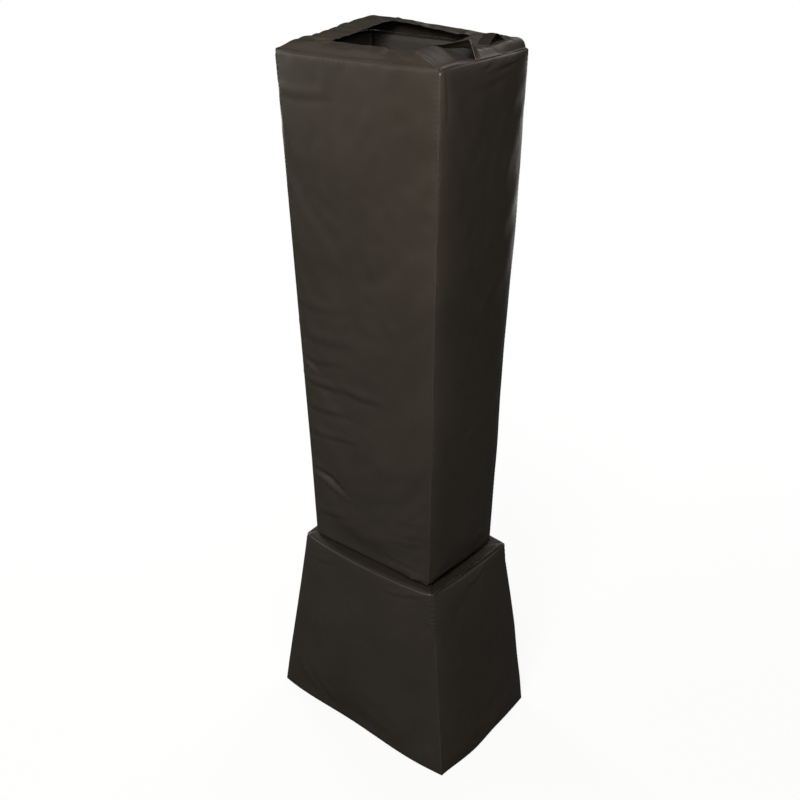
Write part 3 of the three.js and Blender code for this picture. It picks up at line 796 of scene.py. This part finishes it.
def flap(pad, kind, columns, rows):
    """A vinyl flap: from its sewn edge in towards the post, mitred at its ends, with the folds of its kind.
    Returns it with its flat size and its area."""
    side_name = kind.split("_")[0]
    part = kind.split("_")[1] if "_" in kind else "whole"
    side = SIDES[side_name]
    along, inward = np.meshgrid(np.linspace(0, 1, columns), np.linspace(0, 1, rows) ** CROWDING)
    half_span, start, end = flap_ends(pad, side_name, part, inward)
    across = lerp(start, end, along)
    crown = bulge(pad, side_name, (across / half_span + 1) / 2, 1.0)
    half_reach = pad["rim"][side.reach] / 2
    from_corner = pad["rim"][side.span] / 2 - FLAP_INSET - np.abs(across[0])
    turned = rounded(CORNER_ROUND, from_corner)
    reach = lerp(half_reach + crown - FLAP_INSET - turned, pad["hole"][side.reach], inward)
    inset = half_reach + crown - reach
    z = flap_height(pad, side_name, inset)
    z += VINYL * lerp(0.4 if pad is PAD else 0.0, 1, smooth(inset / THICKNESS_RUN))
    z -= END_DROP * smooth(turned / 0.002) * (1 - smooth(inward / END_DROP_REACH))
    if pad is PAD:
        z += PAD_FOLDS[kind](along, inward) + gathers(along, inward, kind)
        z += creases(across, inset, FLAP_CREASES[kind]) * smooth(np.minimum(along, 1 - along) / END_ZONE)
    elif side_name == "right":
        z += lumps(across, inset)
    points = on_side(side, across, reach, z)
    uv = np.stack([across, inward * (half_reach - pad["hole"][side.reach])], -1)
    made = thicken(skin(f"{pad['name']}_{kind}_flap_vinyl", points, uv), VINYL - HAIR)
    depth_run = np.hypot(np.diff(reach, axis=0), np.diff(z, axis=0)).sum(0)
    columns_run = np.linalg.norm(np.diff(points, axis=1), axis=-1).sum(1)
    return made, (float(columns_run.max()), float(depth_run.max())), sheet_area(points)


def tab(pad, name, width, length, rise, inset_from, from_front):
    """A tab of hook tape on the rear right flap: sewn down at its rear end, peaked in the middle."""
    half_width, half_depth = (edge / 2 for edge in pad["rim"])
    share, side_share = np.meshgrid(np.linspace(0, 1, 41), np.linspace(0, 1, 13))
    inset = inset_from + side_share * width
    across = from_front - half_depth + share * length
    crown = bulge(pad, "right", (across / half_depth + 1) / 2, 1.0)
    reach = half_width + crown - inset
    inward = (inset - FLAP_INSET) / (reach + inset - FLAP_INSET - pad["hole"][0])
    _, start, end = flap_ends(pad, "right", "rear", inward)
    if pad is PAD:
        a = (across - start) / (end - start)
        folded = PAD_FOLDS["right_rear"](a, inward) + gathers(a, inward, "right_rear")
        folded += creases(across, inset, FLAP_CREASES["right_rear"])
    else:
        folded = lumps(across, inset)
    peak = np.clip(1 - np.abs(2 * share - 0.94) ** 1.25, 0, 1) * smooth(np.minimum(share, 1 - share) / 0.12)
    crest = rise * peak * (1 + 0.10 * np.cos(np.pi * side_share)) if pad is PAD else rise * hump(share)
    base = flap_height(pad, "right", inset) + VINYL + GAP + folded + crest
    outer, inner = (on_side(SIDES["right"], across, reach, z) for z in (base + TAPE, base))
    return slab(name, outer, inner, np.stack([side_share * width, share * length], -1))


# ---- finishes


class Level:
    """A number that varies over a surface. Its operators add Math nodes."""

    def __init__(self, finish, socket):
        self.finish, self.socket = finish, socket

    def math(self, operation, *values):
        return self.finish.node("ShaderNodeMath", {"operation": operation}, dict(enumerate(values)))

    def __add__(self, other):
        return self.math("ADD", self, other)

    __radd__ = __add__

    def __sub__(self, other):
        return self.math("SUBTRACT", self, other)

    def __rsub__(self, other):
        return self.math("SUBTRACT", other, self)

    def __mul__(self, other):
        return self.math("MULTIPLY", self, other)

    __rmul__ = __mul__

    def limited(self, low, high):
        return self.math("MINIMUM", self.math("MAXIMUM", self, low), high)


class Finish:
    """The nodes of a material or a world: one method adds any node with its settings and its inputs."""

    def __init__(self, owner):
        self.owner = owner
        owner.use_nodes = True
        self.tree = owner.node_tree
        self.tree.nodes.clear()

    def node(self, kind, settings=None, inputs=None, output=0):
        made = self.tree.nodes.new(kind)
        for key, value in (settings or {}).items():
            setattr(made, key, value)
        for key, value in (inputs or {}).items():
            if isinstance(value, Level):
                self.tree.links.new(value.socket, made.inputs[key])
            else:
                made.inputs[key].default_value = value
        return Level(self, made.outputs[output]) if made.outputs else None

    def where(self, kind="Object"):
        """The place on the surface: in the object's own space, or on its map as "UV"."""
        return self.node("ShaderNodeTexCoord", output=kind)

    def shades(self, share, shade, first, second):
        """A colour that goes from one multiple of a shade to another; 6, 7 and 2 are the mix's colour sockets."""
        ends = [tuple(times * c for c in shade) + (1.0,) for times in (first, second)]
        inputs = {"Factor": share.limited(0.0, 1.0), 6: ends[0], 7: ends[1]}
        return self.node("ShaderNodeMix", {"data_type": "RGBA"}, inputs, 2)

    def noise(self, where, scale, detail=3.0, roughness=0.5):
        inputs = {"Vector": where, "Scale": scale, "Detail": detail, "Roughness": roughness}
        return self.node("ShaderNodeTexNoise", None, inputs)

    def bump(self, height, distance, strength=1.0, under=None):
        inputs = {"Height": height, "Distance": distance, "Strength": strength}
        if under is not None:
            inputs["Normal"] = under
        return self.node("ShaderNodeBump", None, inputs)

    def done(self, **inputs):
        """Ends the material in a Principled shader with these inputs."""
        named = {key.replace("_", " "): value for key, value in inputs.items()}
        shader = self.node("ShaderNodeBsdfPrincipled", None, named)
        self.node("ShaderNodeOutputMaterial", None, {"Surface": shader})
        return self.owner


def vinyl_finish(name, shade, roughness, grain=1.0, gloss=0.5):
    """Coated vinyl: fine leather-like grain, cloudy sheen, and faint handling marks."""
    finish = Finish(bpy.data.materials.new(name))
    where = finish.where()
    cells = {"Vector": where, "Scale": 620.0, "Smoothness": 0.6}
    pebble = finish.node("ShaderNodeTexVoronoi", {"feature": "SMOOTH_F1"}, cells)
    pores = finish.noise(where, 900.0, 2.0)
    cloud = finish.noise(where, 5.5, 5.0, 0.55)
    smear = finish.noise(where, 23.0, 4.0, 0.6)
    colour = finish.shades(cloud * 1.6 - 0.3, shade, 0.82, 1.2)
    rough = roughness + (cloud - 0.5) * 0.10 + (smear - 0.5) * 0.10 + (pores - 0.5) * 0.04
    fine = finish.bump(pebble * 0.7 + pores * 0.3, 0.00006 * grain)
    normal = finish.bump(smear, 0.0004, 0.5, fine)
    return finish.done(Base_Color=colour, Roughness=rough, Normal=normal, IOR=1.5, Specular_IOR_Level=gloss)


def weave_finish(name, shade, pitch, roughness=0.75):
    """Plain-woven backing on the piece's own map: over and under threads as the product of two waves."""
    finish = Finish(bpy.data.materials.new(name))
    x, y = (finish.node("ShaderNodeSeparateXYZ", None, {"Vector": finish.where("UV")}, axis) for axis in "XY")
    turns = 2 * math.pi / pitch
    over = x.math("SINE", x * turns) * y.math("SINE", y * turns) * 0.5 + 0.5
    cloud = finish.noise(finish.where(), 14.0, 4.0)
    colour = finish.shades(over * 0.6 + cloud * 0.5, shade, 0.7, 1.25)
    rough = roughness + (cloud - 0.5) * 0.15
    return finish.done(Base_Color=colour, Roughness=rough, Normal=finish.bump(over, 0.00025))


def nap_finish(name, shade, scale, depth, roughness=0.9):
    """Foam, hook tape and loop tape: close points or cells of one size, with darker hollows between them."""
    finish = Finish(bpy.data.materials.new(name))
    where = finish.where()
    cells = finish.node("ShaderNodeTexVoronoi", {"feature": "F1"}, {"Vector": where, "Scale": scale})
    cloud = finish.noise(where, 30.0, 4.0)
    colour = finish.shades(cells * 1.1 + (cloud - 0.5) * 0.5, shade, 1.3, 0.55)
    rough = roughness + (cloud - 0.5) * 0.1
    hollows = finish.bump(1 - cells, depth)
    return finish.done(Base_Color=colour, Roughness=rough, Normal=hollows, Specular_IOR_Level=0.25)


VINYL_SHADE = (0.032, 0.0272, 0.0212)
panel_vinyl = vinyl_finish("panel_vinyl", VINYL_SHADE, 0.42)
flap_vinyl = vinyl_finish("flap_vinyl", VINYL_SHADE, 0.46)
# The skirt's ledge flaps: the same vinyl, with its colour painted darker and its sheen weakened, as painted shade
# from the pad that overhangs the ledge
painted_shade_ledge_vinyl = vinyl_finish("painted_shade_ledge_vinyl", (0.014, 0.012, 0.0094), 0.62, gloss=0.25)
piping_vinyl = vinyl_finish("piping_vinyl", (0.036, 0.0305, 0.024), 0.44, 0.6)
backing_weave = weave_finish("backing_weave", (0.020, 0.0192, 0.018), 0.0022)
foam_cells = nap_finish("foam_cells", (0.09, 0.088, 0.085), 700.0, 0.0006)
hook_nap = nap_finish("hook_nap", (0.0105, 0.0088, 0.0068), 900.0, 0.0004)
loop_nap = nap_finish("loop_nap", (0.016, 0.0155, 0.015), 520.0, 0.0008, 0.95)

# ---- the pieces

BODY_OF = {name: body for body, names in frame["record"]["behaviour"]["bodies"].items() for name in names}


def settle(pad, made, material, slot, *nodes):
    """Puts a piece in its crept place and its finish, on the body of the CAD nodes that it stands for."""
    points = np.zeros(len(made.data.vertices) * 3)
    made.data.vertices.foreach_get("co", points)
    made.data.vertices.foreach_set("co", crept(pad, points.reshape(-1, 3)).ravel())
    made.data.update()
    made.data.materials.clear()
    made.data.materials.append(material)
    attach(made, BODY_OF[nodes[0]])
    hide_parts(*nodes)
    return made


for pad in (PAD, SKIRT):
    for number, side_name in enumerate(SIDES):
        key = f"{pad['name']}_{side_name}"
        made = settle(pad, cover(pad, side_name, 40 + 10 * number), panel_vinyl, "vinyl", f"{key}_cover")
        board = settle(pad, foam_core(pad, side_name), foam_cells, "foam", f"{key}_foam")
        sheet, flat, area = lining(pad, side_name)
        settle(pad, sheet, backing_weave, "backing", f"{key}_lining")
        min(area, flat[0] * flat[1])
    for corner, x_sign, y_sign in (("front_right", 1, -1), ("front_left", -1, -1), ("back_left", -1, 1)):
        settle(pad, welt(pad, corner, x_sign, y_sign), piping_vinyl, "welting", f"{pad['name']}_{corner}_welt")
    for kind in PAD_FOLDS:
        columns, rows = (90, 56) if pad is PAD else (60, 14)
        made, flat, area = flap(pad, kind, columns, rows)
        # on the skirt the flaps take the ledge vinyl, darkened with painted shade
        finish = flap_vinyl if pad is PAD else painted_shade_ledge_vinyl
        settle(pad, made, finish, "vinyl", f"{pad['name']}_{kind}_flap")
        min(area, flat[0] * flat[1])
    for side_name, end, nap, kind in (("back", 0, hook_nap, "hook"), ("right", 1, loop_nap, "loop")):
        tape = closure_tape(pad, side_name, end, f"{pad['name']}_closing_{kind}s")
        settle(pad, tape, nap, f"{kind}_tape", f"{pad['name']}_{kind}_tape")
hook_tab = tab(PAD, "pad_hook_tab", width=0.030, length=0.056, rise=0.0165, inset_from=0.030, from_front=0.206)
settle(PAD, hook_tab, hook_nap, "hook_tape", "pad_flap_tab")
hook_tab = tab(SKIRT, "skirt_hook_tab", width=0.015, length=0.046, rise=0.0008, inset_from=0.004, from_front=0.112)
settle(SKIRT, hook_tab, hook_nap, "hook_tape", "skirt_flap_tab")

# ---- floor, light and background

HALF_FLOOR = 40
FLOOR_GREY, FLOOR_PALE, WHITE = ((level, level, level, 1.0) for level in (0.08, 0.9, 1.0))
GLOW_FROM, GLOW_TO, GLOW_LEAST = 0.5, 2.6, 0.88  # distances over which its glow becomes whole
HOLE_FROM, HOLE_TO = 0.17, 0.19  # distances over which it starts, outside the opening
SKY_GREY = 0.035


def pale_floor():
    """A wide floor that shows white to the camera and keeps the soft shadow of what stands on it."""
    corners = HALF_FLOOR * np.array([[-1, -1, 0], [1, -1, 0], [1, 1, 0], [-1, 1, 0]], float)
    floor = mesh_object("studio_floor", corners, np.array([[0, 1, 2, 3]]))
    finish = Finish(bpy.data.materials.new("studio_floor"))
    seen = finish.node("ShaderNodeLightPath", output="Is Camera Ray")
    matte = finish.node("ShaderNodeBsdfDiffuse", None, {"Color": FLOOR_GREY})
    bright = finish.node("ShaderNodeBsdfDiffuse", None, {"Color": FLOOR_PALE})
    glow = finish.node("ShaderNodeEmission", None, {"Color": WHITE, "Strength": 1.0})
    distance = finish.node("ShaderNodeVectorMath", {"operation": "LENGTH"}, {0: finish.where()}, "Value")
    far, outside = (
        finish.node("ShaderNodeMapRange", None, {0: distance, 1: near, 2: away, 3: least, 4: 1.0})
        for near, away, least in ((GLOW_FROM, GLOW_TO, GLOW_LEAST), (HOLE_FROM, HOLE_TO, 0.0))
    )
    pale = finish.node("ShaderNodeMixShader", None, {0: far * outside, 1: bright, 2: glow})
    shader = finish.node("ShaderNodeMixShader", None, {0: seen, 1: matte, 2: pale})
    finish.node("ShaderNodeOutputMaterial", None, {"Surface": shader})
    floor.data.materials.append(finish.owner)


def area_lamp(name, place_at, look_at, size, power, colour):
    """A square lamp that the camera doesn't see, at one place and turned to another."""
    lamp = bpy.data.lights.new(name, "AREA")
    lamp.size, lamp.energy, lamp.color = size, power, colour
    made = bpy.data.objects.new(name, lamp)
    made.location = place_at
    made.rotation_euler = (Vector(look_at) - Vector(place_at)).to_track_quat("-Z", "Y").to_euler()
    made.visible_camera = False
    scene.collection.objects.link(made)


def studio_world():
    """White behind the object for the camera, and a plain grey light from all round."""
    world = bpy.data.worlds.new("studio")
    scene.world = world
    sky = Finish(world)
    seen, through = (
        sky.node("ShaderNodeLightPath", output=ray) for ray in ("Is Camera Ray", "Is Transmission Ray")
    )
    strength = sky.node("ShaderNodeMapRange", None, {0: seen.math("MAXIMUM", seen, through), 3: SKY_GREY, 4: 1.0})
    back = sky.node("ShaderNodeBackground", None, {"Strength": strength})
    sky.node("ShaderNodeOutputWorld", None, {"Surface": back})


WARM, NEUTRAL = (1.0, 0.95, 0.89), (1.0, 0.97, 0.93)
LAMPS = {
    "key_light": ((0.98, -2.08, 3.2), (0, 0, 1.3), 1.2, 114, WARM),
    "side_glow": ((1.45, -1.0, 2.5), (0.2, 0, 1.75), 0.6, 8, WARM),
    "side_light": ((-3.0, -1.6, 2.2), (0, 0, 0.9), 1.8, 22, NEUTRAL),
    "back_light": ((-0.6, 3.4, 3.6), (0, 0, 1.5), 2.0, 24, NEUTRAL),
    "left_fill": ((-3.0, 0.9, 1.2), (0, 0, 1.0), 1.0, 60, NEUTRAL),
    "rear_fill": ((-0.6, 3.1, 1.0), (0, 0, 0.9), 1.6, 50, NEUTRAL),
}
pale_floor()
for name, lamp in LAMPS.items():
    area_lamp(name, *lamp)
studio_world()
scene.view_settings.view_transform = "Standard"
